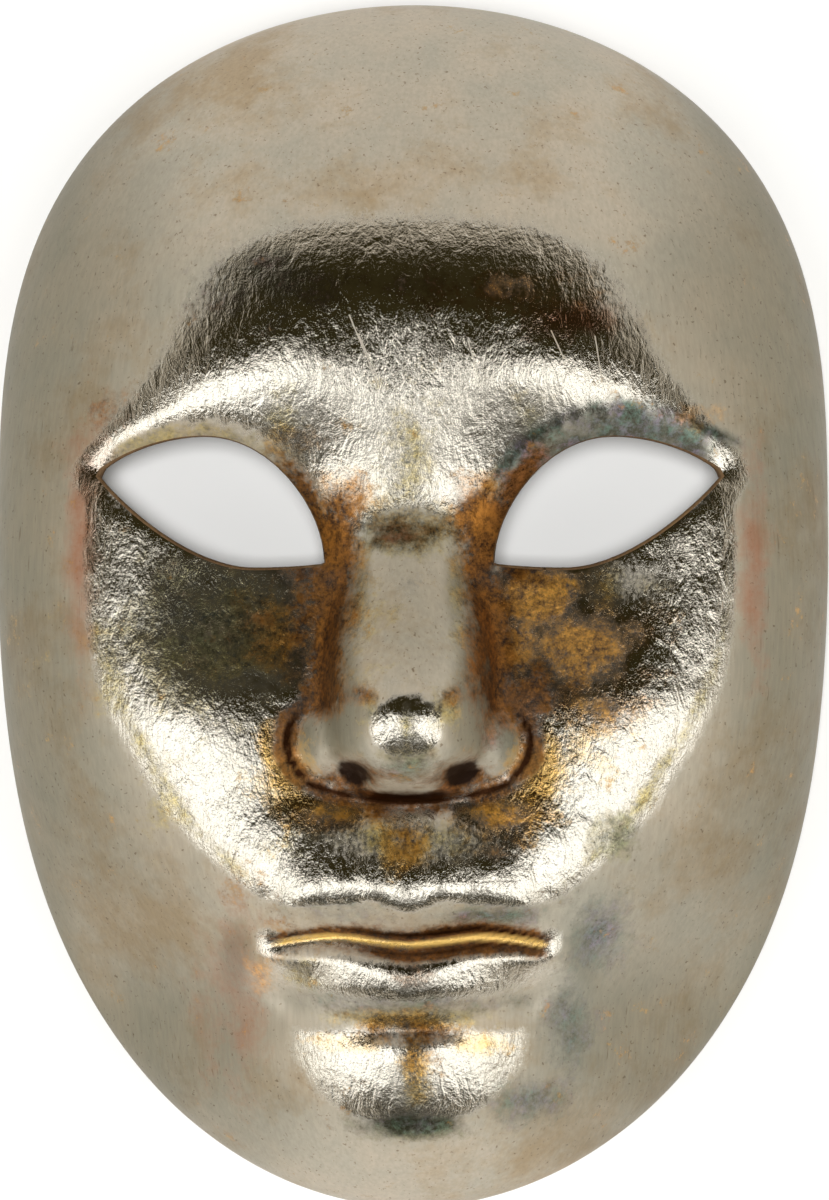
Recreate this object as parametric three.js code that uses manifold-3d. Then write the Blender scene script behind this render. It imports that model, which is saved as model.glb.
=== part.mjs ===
// A full-face carnival mask: a thin papier-mache shell with a silver-leaf coat, open at the back.
// The rim lies in the plane z = 0, the forehead points along +Y and the nose along +Z.
// Every length is in millimetres.
import * as THREE from "three";
import * as BufferGeometryUtils from "three/addons/utils/BufferGeometryUtils.js";
import Module from "manifold-3d";

// Overall size and wall
const HEIGHT = 240;
const HALF_WIDTH = 82.6;
const WIDEST_Y = 21;
const WALL_THICKNESS = 2.2;

// Outline: how square the upper and the lower half of the oval are
const CROWN_POWER = 2.8;
const JAW_POWER = 2.95;
const JAW_ROUNDNESS = 0.525;

// Shell away from the face, each by the sine of the direction seen from the middle:
// height of the upright edge, and how square the shoulder above it is
const EDGE_HEIGHT = [[-1, 30], [-0.86, 8], [-0.5, 14], [0.1, 24], [0.6, 10], [1, 0]];
const SHOULDER = [[-1, 8], [-0.8, 5], [0, 5.5], [1, 4]];

// Middle line from chin to crown, without nose, lips and chin: y, height
const MIDDLE = [
  [-130, 46], [-101, 60], [-81, 60], [-57, 66], [-38, 62.5], [14, 61], [56, 67.4], [64, 66.7],
  [71, 64.3], [78, 61], [130, 34],
];

// Turn of the face to the side: y with the distance where it starts, how gradual it is, and
// the slope it ends at
const TURN_START = [
  [-100, 9], [-88, 10], [-80, 4], [-68, 6], [-50, 18], [-20, 35], [15, 35], [42, 11], [90, 22],
];
const TURN_LENGTH = [
  [-100, 15], [-88, 15], [-78, 22], [-66, 26], [-56, 28], [-25, 78], [5, 80], [42, 108], [58, 76],
  [90, 60],
];
const TURN_SLOPE = [
  [-120, 0.85], [-90, 0.9], [-78, 1.05], [-60, 0.85], [-30, 1.02], [10, 1.2], [42, 1], [60, 1.3],
  [90, 1.2],
];
const TURN_BLEND = 8;
const CREST_ROUND = 6;

// Eye sockets: y with the drop below the face, and distance from the middle with its share
const SOCKET_DROP = [
  [-40, 0], [-30, 0], [-20, 0.4], [-8, 3.6], [6, 6.6], [20, 5.6], [31, 2.4], [42, 0], [70, 0],
];
const SOCKET_SHARE = [[0, 0], [5, 0], [11, 0.3], [19, 1], [40, 1], [54, 0.3], [62, 0], [90, 0]];

// Brow ridge
const BROW_LINE = [[0, 38], [20, 44], [45, 44], [65, 34]];
const BROW_RISE = 1.4;

// Nose: ridge height, half-width of the flat and slope of the flank by y, then its rounded tip,
// wings and nostrils
const NOSE_RIDGE = [
  [-44, 30], [-38.5, 56], [-33, 68], [-27, 75], [-15, 81.6], [15, 61.2], [30, 54], [60, -20],
];
const NOSE_FLAT = [[-38, 5], [-24, 7], [-14, 7], [14, 7.5], [40, 5]];
const NOSE_FLANK_SLOPE = [[-40, 1.3], [-26, 1.5], [-12, 1.8], [14, 1.6]];
const NOSE_EDGE = 3.5;
const NOSE_BLEND = 0.9;
const NOSE_ROOT_BLEND = 1.1;
const TIP = { y: -22.4, z: 85, slope: 0.95, round: 13.5, width: 16, height: 15 };
const WING = { x: 11.5, y: -27.4, z: 50, halfWidth: 12.4, halfHeight: 10.4, rise: 20 };
const NOSTRIL = { x: 10.4, y: -33.2, length: 4.4, width: 2.8, angle: 22, depth: 6.5 };

// Mouth: its line by distance from the middle, the lips by distance above and below the line
const MOUTH_LINE = [[0, -66.8], [5, -66.4], [14, -64.9], [22, -65.8], [30, -67.6], [40, -69]];
const UPPER_LIP = [
  [-3, -3.9], [0, -3.9], [2, -2.7], [8, 0.5], [11, 1.2], [17, 0.7], [27, 0], [40, 0],
];
const LOWER_LIP = [
  [-3, -3.9], [0, -3.9], [1.5, -1.4], [3.2, 1.2], [4.6, 2.2], [7, 2.8], [9, 2.8], [10.6, 2.4],
  [13.5, 0.2], [16, -0.7], [20, 0], [40, 0],
];
const LIP_TURN = 0.15;
const MOUTH_HALF_WIDTH = 29;
const MOUTH_CORNER_RISE = 3.2;
const MUZZLE_RISE = 1.6;

// Chin: a low boss with a crease above it
const CHIN = { rise: 2.4, sink: 0.8, slope: 0.27, round: 4.5, creaseY: -83.6 };
const CREASE_DEPTH = 0.5;

// Eye opening on the wearer's left, as four curves from corner to corner
const EYE_INNER = [16.9, 7.3];
const EYE_TOP = [40, 31.2];
const EYE_OUTER = [60.8, 24.6];
const EYE_BOTTOM = [31, 6.5];
const EYE_CURVES = [
  [[17.5, 18], [27, 31.2], EYE_TOP],
  [[49, 31.2], [57, 27.5], EYE_OUTER],
  [[55, 17.5], [42, 6.8], EYE_BOTTOM],
  [[26, 6.4], [20, 6.9], EYE_INNER],
];

// Skin that rolls in towards the eye opening: its share by height above the line of the eye
const LID_DEPTH = 2.6;
const LID_WIDTH = 6;
const LID_SHARE = [[-20, 0.1], [0, 0.1], [10, 1], [30, 1]];

// Grid of the surface: columns, rows, how much finer they are around the nose, how far the
// face reaches on the grid before the upright edge starts, and how the rings spread
const COLUMNS = 42;
const ROWS = 54;
const FINENESS = 0.56;
const FINE_ROW = -0.4;
const FACE_SHARE = 0.93;
const SPREAD = 0.25;

function ease(low, high, value) {
  const t = THREE.MathUtils.clamp((value - low) / (high - low), 0, 1);
  return t * t * t * (t * (6 * t - 15) + 10);
}

function bell(distance, width) {
  return Math.exp(-((distance / width) ** 2));
}

function softMax(a, b, blend) {
  return Math.max(a, b) + blend * Math.log1p(Math.exp(-Math.abs(a - b) / blend));
}

// Value of a line through the knots, with its corners rounded over about the blend length.
function bend(value, knots, blend) {
  const slopes = [];
  for (let i = 1; i < knots.length; i += 1) {
    slopes.push((knots[i][1] - knots[i - 1][1]) / (knots[i][0] - knots[i - 1][0]));
  }
  let height = knots[0][1] + slopes[0] * (value - knots[0][0]);
  for (let i = 1; i < slopes.length; i += 1) {
    const t = (value - knots[i][0]) / blend;
    const ramp = Math.max(t, 0) + Math.log1p(Math.exp(-Math.abs(t)));
    height += (slopes[i] - slopes[i - 1]) * blend * ramp;
  }
  return height;
}

// Half the mask's width at a height y.
function halfWidthAt(y) {
  const half = HEIGHT / 2;
  if (y > WIDEST_Y) {
    const up = Math.min((y - WIDEST_Y) / (half - WIDEST_Y), 1);
    return HALF_WIDTH * Math.sqrt(1 - up ** CROWN_POWER);
  }
  const down = Math.min((WIDEST_Y - y) / (WIDEST_Y + half), 1);
  return HALF_WIDTH * (1 - down ** JAW_POWER) ** JAW_ROUNDNESS;
}

// Distance from the middle to the outline in the direction (cosine, sine), by halving.
function outlineRadius(cosine, sine) {
  let low = 0;
  let high = HEIGHT;
  for (let step = 0; step < 44; step += 1) {
    const middle = (low + high) / 2;
    const y = middle * sine;
    const inside = Math.abs(y) < HEIGHT / 2 && Math.abs(middle * cosine) < halfWidthAt(y);
    if (inside) {
      low = middle;
    } else {
      high = middle;
    }
  }
  return low;
}

// Height lost to the side, as the face turns away from the middle line.
function turnAway(side, y) {
  const start = bend(y, TURN_START, 4);
  const length = bend(y, TURN_LENGTH, 4);
  const past = (distance) => {
    const q = distance - start;
    return (q + Math.hypot(q, TURN_BLEND)) / 2;
  };
  const here = Math.hypot(past(Math.hypot(side, CREST_ROUND)), length);
  const middle = Math.hypot(past(CREST_ROUND), length);
  return bend(y, TURN_SLOPE, 4) * (here - middle);
}

// The plain shell: face height in the middle, a rounded shoulder, an upright edge.
function shell(x, y) {
  const radius = Math.hypot(x, y) + 1e-9;
  const sine = y / radius;
  const share = Math.min(radius / outlineRadius(x / radius, sine), 1);
  const edge = bend(sine, EDGE_HEIGHT, 0.05);
  const face = bend(y, MIDDLE, 2.5) - turnAway(Math.abs(x), y);
  return edge + (face - edge) * Math.sqrt(1 - share ** bend(sine, SHOULDER, 0.05));
}

function sockets(side, y) {
  return -bend(y, SOCKET_DROP, 2.2) * bend(side, SOCKET_SHARE, 1.4);
}

function brow(side, y) {
  const line = bend(Math.hypot(side, 5), BROW_LINE, 4);
  const middle = 1 - 0.5 * bell(side, 11);
  return BROW_RISE * bell(y - line, 10) * (1 - ease(30, 68, side)) * middle;
}

// Rounded tip of the nose, turning under ever faster to its sides and below.
function noseTip(side, y) {
  const below = Math.max(TIP.y - y, 0);
  const above = Math.max(y - TIP.y, 0);
  const across = side * (1 + (side / TIP.width) ** 3);
  const along = 1.35 * above + below * (1 + (below / TIP.height) ** 3);
  const away = Math.hypot(across, along, TIP.round) - TIP.round;
  return TIP.z - TIP.slope * Math.min(away, HEIGHT);
}

// Wing of the nose: upper half of an ellipsoid, falling away steeply beyond its outline.
function noseWing(side, y) {
  const across = (side - WING.x) / WING.halfWidth;
  const along = (y - WING.y) / WING.halfHeight;
  const share = Math.hypot(across, along);
  const top = Math.sqrt(Math.max(1 - share * share, 1e-4));
  return WING.z + WING.rise * top - 40 * Math.max(share - 1, 0);
}

function nose(side, y) {
  const past = Math.hypot(side, 2) - bend(y, NOSE_FLAT, 3);
  const flank = (bend(y, NOSE_FLANK_SLOPE, 2) * (past + Math.hypot(past, NOSE_EDGE))) / 2;
  const ridge = bend(y, NOSE_RIDGE, 2) - flank;
  return softMax(softMax(ridge, noseTip(side, y), 1.2), noseWing(side, y), 1.2);
}

function nostril(side, y) {
  const turn = THREE.MathUtils.degToRad(NOSTRIL.angle);
  const dx = side - NOSTRIL.x;
  const dy = y - NOSTRIL.y;
  const along = (dx * Math.cos(turn) + dy * Math.sin(turn)) / NOSTRIL.length;
  const across = (dy * Math.cos(turn) - dx * Math.sin(turn)) / NOSTRIL.width;
  return -NOSTRIL.depth * Math.exp(-((along * along + across * across) ** 1.3));
}

// Furrow and ridges above the upper lip, on a low swelling.
function muzzle(side, y) {
  const furrow = -0.9 * bell(side, 3.6) * ease(-38, -45, y) * ease(-62, -54, y);
  const ridges = 0.9 * bell(side - 6.6, 2.8) * ease(-38, -45, y) * ease(-61, -55, y);
  const swelling = MUZZLE_RISE * bell(side, 19) * ease(-36, -46, y) * ease(-68, -57, y);
  return furrow + ridges + swelling;
}

function lips(side, y) {
  const line = bend(side, MOUTH_LINE, 1.5);
  const share = Math.min(side / MOUTH_HALF_WIDTH, 0.99);
  const thin = Math.sqrt(1 - share ** 2);
  const full = Math.sqrt(1 - share ** 5);
  const upper = bend((y - line) / thin, UPPER_LIP, 0.7) * thin;
  const lower = bend((line - y) / full, LOWER_LIP, 0.5) * full;
  const profile = (y > line ? upper : lower) * (1 - ease(21, 31, side));
  const pillow = ease(15, 31, side) * (1 - ease(30, 38, side)) * bell(y + 70, 5.2);
  const turn = (Math.hypot(side, 4) - 4) * bell(line - y - 7, 5) * (1 - ease(20, 30, side));
  return profile + MOUTH_CORNER_RISE * pillow - LIP_TURN * turn;
}

function chin(side, y) {
  const across = CHIN.rise - CHIN.slope * (Math.hypot(side, CHIN.round) - CHIN.round);
  const below = CHIN.creaseY - y - side ** 2 / 90;
  const along = ease(-9, 9, below) * ease(-118, -102, y);
  const crease = CREASE_DEPTH * bell(side, 10) * bell(below, 1.4);
  return (softMax(across, 0, 1) - CHIN.sink) * along - crease;
}

// Outline of the eye opening on the given side, 1 or -1.
function eyeShape(side) {
  const shape = new THREE.Shape();
  shape.moveTo(side * EYE_INNER[0], EYE_INNER[1]);
  for (const [first, second, end] of EYE_CURVES) {
    shape.bezierCurveTo(side * first[0], first[1], side * second[0], second[1], side * end[0], end[1]);
  }
  return shape;
}

const eyeOutline = eyeShape(1).getSpacedPoints(120);

// Drop of the skin that rolls in towards the eye opening, deepest above it.
function eyelid(side, y) {
  const place = new THREE.Vector2(side, y);
  const gap = Math.min(...eyeOutline.map((point) => point.distanceTo(place)));
  const share = bend(y - 4 - 0.32 * (side - EYE_INNER[0]), LID_SHARE, 1.5);
  return LID_DEPTH * share * (1 - ease(-2, LID_WIDTH, gap));
}

// Height of the mask's outer surface over the rim plane.
function surfaceHeight(x, y) {
  const side = Math.abs(x);
  const plain = shell(x, y) + sockets(side, y) + brow(side, y);
  const carved = plain + lips(side, y) + chin(side, y) + muzzle(side, y);
  const blend = NOSE_BLEND + NOSE_ROOT_BLEND * ease(2, 14, y);
  return softMax(carved - eyelid(side, y), nose(side, y), blend) + nostril(side, y);
}

// Grid line from -1 to 1 with closer lines around the centre and the last one on the rim.
function gridLine(value, count, centre) {
  if (Math.abs(value) > 1 - 1 / count) {
    return Math.sign(value);
  }
  const curve = (t) => t + FINENESS * ((t - centre) ** 3 - (t - centre));
  const low = curve(-1);
  const high = curve(1);
  const inner = curve(value / (1 - 2 / count));
  return FACE_SHARE * ((2 * (inner - low)) / (high - low) - 1);
}

// Slopes of the outer surface along x and y.
function surfaceSlopes(x, y) {
  const step = 0.3;
  const along = (surfaceHeight(x + step, y) - surfaceHeight(x - step, y)) / (2 * step);
  const across = (surfaceHeight(x, y + step) - surfaceHeight(x, y - step)) / (2 * step);
  return [along, across];
}

// Point of the shell for a place on the grid, sunk by the given depth below the outer surface.
// The middle of the grid carries the face and its outermost band the upright edge.
function shellPoint(column, row, depth) {
  const u = gridLine(column, COLUMNS, 0);
  const v = gridLine(row, ROWS, FINE_ROW);
  const p = u * Math.sqrt(1 - (v * v) / 2);
  const q = v * Math.sqrt(1 - (u * u) / 2);
  const place = Math.hypot(p, q);
  const cosine = place > 1e-6 ? p / place : 1;
  const sine = place > 1e-6 ? q / place : 0;
  const share = Math.min(place / FACE_SHARE, 1);
  const radius = outlineRadius(cosine, sine) * share * (1 + SPREAD - SPREAD * share * share);
  const x = radius * cosine;
  const y = radius * sine;
  const [slopeX, slopeY] = surfaceSlopes(x, y);
  if (place <= FACE_SHARE) {
    const sink = depth / Math.hypot(slopeX, slopeY, 1);
    return new THREE.Vector3(x + slopeX * sink, y + slopeY * sink, surfaceHeight(x, y) - sink);
  }
  const inset = depth / Math.hypot(slopeX, slopeY);
  const down = (place - FACE_SHARE) / (1 - FACE_SHARE);
  const height = surfaceHeight(x, y) * (1 - Math.min(down, 1));
  return new THREE.Vector3(x + slopeX * inset, y + slopeY * inset, height);
}

// The shell before the eyes are cut: outer surface on the block's front, inner surface on its
// back, and the flat rim around its sides.
function shellBlock() {
  const geometry = new THREE.BoxGeometry(2, 2, 2, COLUMNS, ROWS, 1);
  const places = geometry.attributes.position;
  for (let i = 0; i < places.count; i += 1) {
    const depth = places.getZ(i) > 0 ? 0 : WALL_THICKNESS;
    const point = shellPoint(places.getX(i), places.getY(i), depth);
    places.setXYZ(i, point.x, point.y, point.z);
  }
  return geometry;
}

// Upright block in the shape of one eye opening; side is 1 or -1.
function eyeBlock(side) {
  const settings = { depth: 80, curveSegments: 6, bevelEnabled: false };
  const geometry = new THREE.ExtrudeGeometry(eyeShape(side), settings);
  geometry.translate(0, 0, 20);
  return geometry;
}

function toSolid(wasm, geometry) {
  const bare = geometry.clone();
  bare.deleteAttribute("normal");
  bare.deleteAttribute("uv");
  const merged = BufferGeometryUtils.mergeVertices(bare, 1e-4);
  const mesh = new wasm.Mesh({
    numProp: 3,
    vertProperties: new Float32Array(merged.attributes.position.array),
    triVerts: new Uint32Array(merged.index.array),
  });
  return new wasm.Manifold(mesh);
}

function toGeometry(solid) {
  const mesh = solid.getMesh();
  const geometry = new THREE.BufferGeometry();
  geometry.setAttribute("position", new THREE.BufferAttribute(mesh.vertProperties, 3));
  geometry.setIndex(new THREE.BufferAttribute(mesh.triVerts, 1));
  geometry.computeVertexNormals();
  return geometry;
}

function silverLeaf() {
  return new THREE.MeshStandardMaterial({ color: 0xb3aa96, roughness: 0.3, metalness: 0.9 });
}

const wasm = await Module();
wasm.setup();

const maskSolid = toSolid(wasm, shellBlock())
  .subtract(toSolid(wasm, eyeBlock(1)))
  .subtract(toSolid(wasm, eyeBlock(-1)));

const shellMesh = new THREE.Mesh(toGeometry(maskSolid), silverLeaf());
shellMesh.name = "mask_shell";

const mask = new THREE.Group();
mask.add(shellMesh);

export default mask;
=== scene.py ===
"""Looks of the carnival mask: fine relief, aged silver leaf, paper lining, floor, lamps and camera.

The mask lies on its open back. Its shape is a height over the rim plane, worked out in
millimetres and turned into metres when the mesh is made.
"""

import math

import bpy
import numpy as np
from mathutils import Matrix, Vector


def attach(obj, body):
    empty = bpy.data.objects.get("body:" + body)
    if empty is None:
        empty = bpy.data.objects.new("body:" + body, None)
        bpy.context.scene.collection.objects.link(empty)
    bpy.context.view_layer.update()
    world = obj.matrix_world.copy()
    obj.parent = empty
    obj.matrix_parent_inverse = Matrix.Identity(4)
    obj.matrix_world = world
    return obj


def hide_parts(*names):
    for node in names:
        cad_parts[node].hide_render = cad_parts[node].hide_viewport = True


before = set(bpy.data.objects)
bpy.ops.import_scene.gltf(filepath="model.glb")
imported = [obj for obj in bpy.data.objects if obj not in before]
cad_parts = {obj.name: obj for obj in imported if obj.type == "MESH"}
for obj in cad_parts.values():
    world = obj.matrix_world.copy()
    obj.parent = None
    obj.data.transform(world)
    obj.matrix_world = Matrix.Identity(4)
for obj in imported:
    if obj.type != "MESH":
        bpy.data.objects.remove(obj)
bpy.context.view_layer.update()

# Overall size and wall, in millimetres
HEIGHT = 240.0
HALF_WIDTH = 82.6
WIDEST_Y = 21.0
WALL_THICKNESS = 2.2

# Outline: how square the upper and the lower half of the oval are
CROWN_POWER = 2.8
JAW_POWER = 2.95
JAW_ROUNDNESS = 0.525

# Height of the upright edge, and squareness of the shoulder above it, by the sine of the
# direction seen from the middle
EDGE_HEIGHT = [(-1, 30), (-0.86, 8), (-0.5, 14), (0.1, 24), (0.6, 10), (1, 0)]
SHOULDER = [(-1, 8), (-0.8, 5), (0, 5.5), (1, 4)]

# Middle line from chin to crown, without nose, lips and chin: y, height
MIDDLE = [
    (-130, 46), (-101, 60), (-81, 60), (-57, 66), (-38, 62.5), (14, 61), (56, 67.4), (64, 66.7),
    (71, 64.3), (78, 61), (130, 34),
]

# Turn of the face to the side: y with the distance where it starts, how gradual it is, and
# the slope it ends at
TURN_START = [
    (-100, 9), (-88, 10), (-80, 4), (-68, 6), (-50, 18), (-20, 35), (15, 35), (42, 11), (90, 22),
]
TURN_LENGTH = [
    (-100, 15), (-88, 15), (-78, 22), (-66, 26), (-56, 28), (-25, 78), (5, 80), (42, 108), (58, 76),
    (90, 60),
]
TURN_SLOPE = [
    (-120, 0.85), (-90, 0.9), (-78, 1.05), (-60, 0.85), (-30, 1.02), (10, 1.2), (42, 1.0),
    (60, 1.3), (90, 1.2),
]
TURN_BLEND = 8.0
CREST_ROUND = 6.0

# How far the corners of these lines are rounded over, in millimetres, or in the sine
MIDDLE_BLEND = 2.5
ROW_BLEND = 4
SINE_BLEND = 0.05

# Eye sockets: y with the drop below the face, and distance from the middle with its share
SOCKET_DROP = [
    (-40, 0), (-30, 0), (-20, 0.4), (-8, 3.6), (6, 6.6), (20, 5.6), (31, 2.4), (42, 0), (70, 0),
]
SOCKET_SHARE = [(0, 0), (5, 0), (11, 0.3), (19, 1), (40, 1), (54, 0.3), (62, 0), (90, 0)]
SOCKET_ROW_BLEND = 2.2
SOCKET_SIDE_BLEND = 1.4

# Brow ridge: its line, and its rise, which dips in the middle and fades out at the temples
BROW_LINE = [(0, 38), (20, 44), (45, 44), (65, 34)]
BROW = {"rise": 1.4, "width": 10, "blend": 4, "round": 5, "fade": (30, 68)}
BROW_DIP = {"share": 0.5, "width": 11}

# Nose: ridge height and half-width of the flat by y, then its ball, wings and nostrils
NOSE_RIDGE = [
    (-44, 30), (-38.5, 56), (-33, 68), (-27, 75), (-15, 81.6), (15, 61.2), (30, 54), (60, -20),
]
NOSE_FLAT = [(-38, 5), (-24, 7), (-14, 7), (14, 7.5), (40, 5)]
NOSE_FLANK_SLOPE = [(-40, 1.3), (-26, 1.5), (-12, 1.8), (14, 1.6)]
NOSE_EDGE = 3.5
NOSE_CREST = 2
NOSE_FLAT_BLEND = 3
NOSE_ROW_BLEND = 2
NOSE_FRONT_BLEND = 1.2
NOSE_BLEND = 0.9
NOSE_ROOT_BLEND = 1.1
NOSE_ROOT_ROWS = (2, 14)
TIP = {
    "y": -22.4, "z": 84.8, "slope": 0.95, "round": 13.5, "width": 16, "height": 15, "above": 1.35,
}
WING = {
    "x": 11.5, "y": -27.4, "z": 50, "half_width": 12.4, "half_height": 10.4, "rise": 20, "fall": 40,
}
NOSTRIL = {
    "x": 10.4, "y": -33.2, "length": 4.4, "width": 2.8, "angle": 22, "depth": 8, "power": 1.3,
}

# Mouth: its line by distance from the middle, the lips by distance above and below the line
MOUTH_LINE = [(0, -66.8), (5, -66.4), (14, -64.9), (22, -65.8), (30, -67.6), (40, -69)]
UPPER_LIP = [
    (-3, -3.9), (0, -3.9), (2, -2.7), (8, 0.5), (11, 1.2), (17, 0.7), (27, 0), (40, 0),
]
LOWER_LIP = [
    (-3, -3.9), (0, -3.9), (1.5, -1.4), (3.2, 1.2), (4.6, 2.2), (7, 2.8), (9, 2.8), (10.6, 2.4),
    (13.5, 0.2), (16, -0.7), (20, 0), (40, 0),
]
MOUTH_HALF_WIDTH = 29
MOUTH_BLEND = 1.5
UPPER_LIP_BLEND = 0.7
LOWER_LIP_BLEND = 0.5
LIP_FADE = (21, 31)
LIP_TURN = {"slope": 0.15, "round": 4, "drop": 7, "width": 5, "fade": (20, 30)}
MOUTH_CORNER = {"rise": 3.2, "y": -70, "width": 5.2, "start": (15, 31), "end": (30, 38)}

# Furrow, ridges and low swelling above the upper lip: height, distance from the middle,
# half-width, rows where it starts, rows where it ends
MUZZLE_FORMS = [
    (-0.9, 0, 3.6, (-38, -45), (-62, -54)),
    (0.9, 6.6, 2.8, (-38, -45), (-61, -55)),
    (1.6, 0, 19, (-36, -46), (-68, -57)),
]

# Chin: a low boss with a crease above it
CHIN = {"rise": 2.4, "sink": 0.8, "slope": 0.27, "round": 4.5, "start": 9, "foot": (-118, -102)}
CREASE = {"y": -83.6, "depth": 0.5, "half_width": 10, "width": 1.4, "curve": 90}

# Eye opening on the wearer's left, as four curves from corner to corner
EYE_INNER = (16.9, 7.3)
EYE_TOP = (40, 31.2)
EYE_OUTER = (60.8, 24.6)
EYE_BOTTOM = (31, 6.5)
EYE_CURVES = [
    ((17.5, 18), (27, 31.2), EYE_TOP),
    ((49, 31.2), (57, 27.5), EYE_OUTER),
    ((55, 17.5), (42, 6.8), EYE_BOTTOM),
    ((26, 6.4), (20, 6.9), EYE_INNER),
]
EYE_CURVE_STEPS = 24
EYE_LINE = {"x": 17, "y": 4, "slope": 0.32}
LID_DEPTH = 2.6
LID_WIDTH = 6.0
LID_SHARE = [(-20, 0.1), (0, 0.1), (10, 1), (30, 1)]
LID_BLEND = 1.5
LID_SIDES = (8, 74)
LID_ROWS = (-8, 46)

# Places on both sides of the face given painted reflection, grey paint in place of what the
# leaf reflects: centre, half-sizes, strength, and how sharp the border is
PAINTED_REFLECTION_PLACES = [
    ((45, 61), (9, 10), 0.62, 2),
    ((0, 11), (11, 7.5), 1, 6),
    ((6.8, -42.5), (2, 5), 0.85, 3),
    ((0, -46.5), (20, 5), 0.5, 3),
    ((27, -80), (7, 7), 1, 4),
    ((18, -80.3), (12, 3.7), 1, 4),
    ((0, -85), (9, 1.9), 0.7, 3),
]
# Painted reflection round the ball of the nose: its row, how flat it is across, and where its
# border runs
BALL = {"y": -24.3, "flat": 1.15, "border": (5, 7.2)}

# Patina, in places on the face: centre, half-sizes, strength
STAINS = [
    ((-20, -4), (6, 16), 0.85),
    ((-27, -4), (8, 12), 0.45),
    ((0, 14), (12, 5), 0.62),
    ((0, -46), (5, 6), 0.45),
    ((-10.4, -34.5), (6, 3.5), 1.0),
    ((10.4, -34.5), (6, 3.5), 1.0),
    ((17, -12), (4.5, 14), 1.1),
    ((15, 4), (3.5, 12), 1.0),
    ((24, -19), (7, 6), 1.0),
    ((17, -48), (8, 4), 0.5),
    ((-14, -43), (6, 4), 0.5),
    ((0, -72), (5.5, 3.5), 0.6),
    ((1.5, -88), (5, 5), 0.5),
    ((0, -85.5), (8, 2), 0.65),
    ((0, -84), (12, 3), 0.7),
    ((0, -40), (14, 3), 0.9),
    ((25, -15), (4, 5), 0.9),
    ((31, -17), (6, 4), 0.55),
    ((-59, 37), (8, 5), 0.4),
    ((-8, 60), (30, 6), 0.3),
    ((66, -97), (9, 9), 0.6),
]
GOLD_STAINS = [
    ((-24, -35), (6, 9), 0.9),
    ((25, -35), (7, 9), 0.9),
    ((33, -24), (9, 10), 0.6),
    ((0, -49), (8, 4), 0.6),
    ((-10, -86), (9, 3), 0.6),
    ((13, -86), (7, 3), 0.6),
    ((-32, 22), (2, 2), 0.5),
]
OCHRE_STAINS = [
    ((25, 1), (10, 8), 1.3),
    ((22, -9), (6, 9), 1.0),
    ((33, -10), (12, 10), 1.1),
    ((37, -21), (10, 5), 0.9),
    ((43, -6), (8, 7), 0.6),
    ((-21, -8), (8, 12), 0.6),
    ((0, -46), (5, 6), 0.8),
    ((-15, -41), (9, 4), 0.8),
    ((17, -41), (10, 5), 1.0),
    ((1, -90), (4, 7), 0.65),
    ((-14, 16), (5, 10), 0.9),
    ((14, 16), (4, 10), 0.8),
    ((-1, -82), (11, 3), 0.7),
    ((22, 60), (14, 5), 0.6),
    ((-22, 31), (8, 3), 0.6),
    ((56, 36), (6, 3), 0.5),
    ((-28, -72), (5, 8), 0.4),
]
GREEN_STAINS = [
    ((-3, 13), (10, 4), 0.7),
    ((24, 29), (6, 5), 0.9),
    ((36, -64), (7, 9), 0.7),
    ((16, -61), (11, 3), 0.8),
    ((31, -83), (5, 13), 0.65),
    ((23, -98), (9, 5), 0.6),
    ((-14, -60), (12, 3), 0.4),
    ((0, -78), (24, 2.5), 0.6),
    ((0, -102), (10, 3), 1.2),
    ((-40, -4), (14, 12), 0.5),
    ((-28, 62), (18, 8), 0.5),
    ((0, -31.5), (9, 3.5), 0.6),
    ((18, -26), (5, 5), 0.5),
    ((40, -46), (6, 6), 0.5),
]
RED_STAINS = [
    ((31, 54), (9, 4), 1.0),
    ((16, 58), (16, 4), 0.5),
    ((-64, 10), (3.5, 24), 0.8),
    ((67, 6), (3.5, 24), 0.7),
    ((-34, -78), (9, 20), 0.5),
    ((-63, 26), (6, 12), 0.5),
]
# Tarnished leaf, laid also where the leaf reflects the dim room, deepening that as painted shade
TARNISH_AND_SHADE = [
    ((0, 26), (5, 12), 0.75),
    ((-24, 32), (5, 9), 0.8),
    ((23, 35), (4, 6), 0.5),
    ((1, -91), (3.4, 8), 1.2),
    ((0, 36), (8, 8), 0.5),
    ((0, 13.5), (12, 5.5), 1.1),
    ((-9.5, 0), (2.5, 14), 0.45),
    ((9.5, 0), (2.5, 14), 0.6),
    ((-34, -6), (24, 16), 1.05),
    ((36, 2), (14, 6), 0.7),
    ((0, -24), (1.3, 5), 0.9),
    ((0, -29.5), (8, 2), 0.8),
    ((7, -20), (3.5, 4), 0.8),
    ((-7, -21), (2, 4), 0.7),
    ((0, -102.5), (9, 3), 1.2),
    ((0, -46), (24, 6), 0.85),
    ((0, -81), (15, 2.6), 1.1),
    ((-22, -72), (4, 4), 0.6),
    ((39, -46), (5, 6), 0.8),
    ((-58, -12), (3, 12), 0.7),
    ((-48, -36), (4, 12), 0.5),
]

# Hairline scratches on the forehead: start, end
SCRATCHES = [
    ((-11.4, 55), (-6.0, 42)),
    ((-9.5, 51), (-4.8, 40.5)),
    ((11.5, 50), (13.6, 43)),
    ((36, 51), (37.4, 42)),
    ((27.5, 52), (30, 46.5)),
]
SCRATCH_WIDTH = 0.24

# Height up the face, in metres, where the leaf's wrinkles start to lie level, and the distance
# over which they come to
LEVEL_FROM = 0.045
LEVEL_WITHIN = 0.0125

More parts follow.
